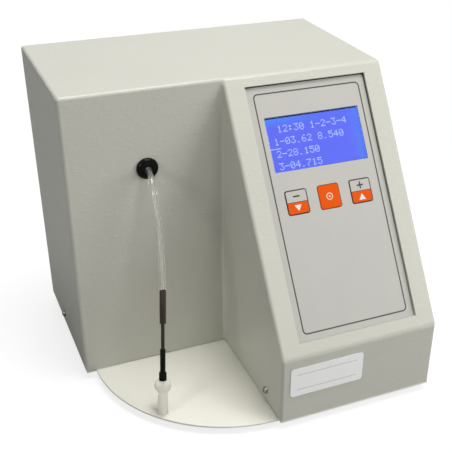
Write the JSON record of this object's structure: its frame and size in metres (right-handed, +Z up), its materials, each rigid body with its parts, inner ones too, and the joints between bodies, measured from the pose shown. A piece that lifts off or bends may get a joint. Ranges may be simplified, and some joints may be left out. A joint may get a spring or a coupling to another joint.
{
  "type": "milk analyzer",
  "caption": "Bench-top milk analyzer with a sheet-metal case, sloping key and display panel, open sample bay and a hanging intake probe.",
  "frame": {"origin": "centre of the case's footprint, on the table under the rubber feet", "axes": "+Z up, -Y towards the user and the front of the console, +X to the user's right"},
  "size_m": [0.245, 0.2438, 0.228],
  "materials": {
    "case_paint": "fine hammer-texture powder coat",
    "overlay_film": "satin printed film",
    "key_white": "satin",
    "key_orange": "satin",
    "display_blue": "lit liquid crystal",
    "clear_plastic": "clear",
    "black_rubber": "satin",
    "black_plastic": "satin",
    "brown_sleeve": "translucent",
    "white_plastic": "satin",
    "label_white": "paper-like film",
    "steel": "brushed",
    "aluminium": "satin",
    "board_green": "solder resist",
    "silicone": "translucent",
    "wire_grey": "satin"
  },
  "bodies": {
    "case": {"cover": "case_paint", "base_tray": "case_paint", "rear_panel": "case_paint", "side_screw_left": "steel", "side_screw_bay": "steel", "side_screw_right_rear": "steel", "side_screw_right_front": "steel", "rear_screw_left": "steel", "rear_screw_right": "steel", "foot_rear_left": "black_rubber", "foot_rear_right": "black_rubber", "foot_front_right": "black_rubber", "foot_platform": "black_rubber", "front_label": "label_white", "power_inlet": "black_plastic", "switch_frame": "black_plastic", "serial_port": "steel", "panel_gasket": "black_rubber", "panel_plate": "aluminium", "panel_overlay": "overlay_film", "display_window": "clear_plastic", "display_glass": "display_blue", "display_bezel": "steel", "display_board": "board_green", "key_board": "board_green", "grommet": "black_rubber", "measuring_cell": "aluminium", "cell_sensor_left": "steel", "cell_sensor_right": "steel", "cell_heater": "white_plastic", "cell_bracket": "aluminium", "pump_bracket": "aluminium", "pump_housing": "white_plastic", "pump_cover": "clear_plastic", "pump_screw_upper": "steel", "pump_screw_lower": "steel", "pump_motor": "steel", "cell_inlet_hose": "silicone", "pump_tube": "silicone", "main_board": "board_green", "supply_board": "board_green", "display_ribbon": "wire_grey", "mains_lead": "wire_grey", "switch_lead": "wire_grey", "board_lead": "wire_grey", "motor_lead": "wire_grey"},
    "intake": {"sample_hose": "clear_plastic", "hose_sleeve": "brown_sleeve", "intake_tube": "steel", "lower_sleeve": "black_rubber", "tube_collar": "black_plastic", "nozzle": "white_plastic"},
    "key_down": {"key_down": "key_white"},
    "key_enter": {"key_enter": "key_orange"},
    "key_up": {"key_up": "key_white"},
    "rocker": {"power_rocker": "black_plastic"},
    "rotor": {"pump_rotor": "black_plastic"},
    "roller_1": {"pump_roller_1": "white_plastic"},
    "roller_2": {"pump_roller_2": "white_plastic"},
    "roller_3": {"pump_roller_3": "white_plastic"}
  },
  "joints": [
    {"name": "hose_swing", "type": "hinge", "parent": "case", "child": "intake", "pos_m": [-0.062, -0.0104, 0.17], "axis": [0, 1, 0], "range_deg": [0, 30]},
    {"name": "key_down_press", "type": "slide", "parent": "case", "child": "key_down", "axis": [0, 0.8328, -0.5535], "range_m": [0, 0.0005], "stiffness_N_per_m": 400},
    {"name": "key_enter_press", "type": "slide", "parent": "case", "child": "key_enter", "axis": [0, 0.8328, -0.5535], "range_m": [0, 0.0005], "stiffness_N_per_m": 400},
    {"name": "key_up_press", "type": "slide", "parent": "case", "child": "key_up", "axis": [0, 0.8328, -0.5535], "range_m": [0, 0.0005], "stiffness_N_per_m": 400},
    {"name": "rocker_tip", "type": "hinge", "parent": "case", "child": "rocker", "pos_m": [0.03, 0.1129, 0.0625], "axis": [1, 0, 0], "range_deg": [0, 16]},
    {"name": "rotor_turn", "type": "hinge", "parent": "case", "child": "rotor", "pos_m": [0.025, 0.0396, 0.1125], "axis": [0, 1, 0], "continuous": true},
    {"name": "roller_1_turn", "type": "hinge", "parent": "rotor", "child": "roller_1", "pos_m": [0.025, 0.0396, 0.1243], "axis": [0, 1, 0], "continuous": true},
    {"name": "roller_2_turn", "type": "hinge", "parent": "rotor", "child": "roller_2", "pos_m": [0.01478, 0.0396, 0.1066], "axis": [0, 1, 0], "continuous": true},
    {"name": "roller_3_turn", "type": "hinge", "parent": "rotor", "child": "roller_3", "pos_m": [0.03522, 0.0396, 0.1066], "axis": [0, 1, 0], "continuous": true}
  ],
  "couplings": [
    {"joint": "roller_1_turn", "follows": "rotor_turn", "ratio": -3.4583},
    {"joint": "roller_2_turn", "follows": "rotor_turn", "ratio": -3.4583},
    {"joint": "roller_3_turn", "follows": "rotor_turn", "ratio": -3.4583}
  ]
}
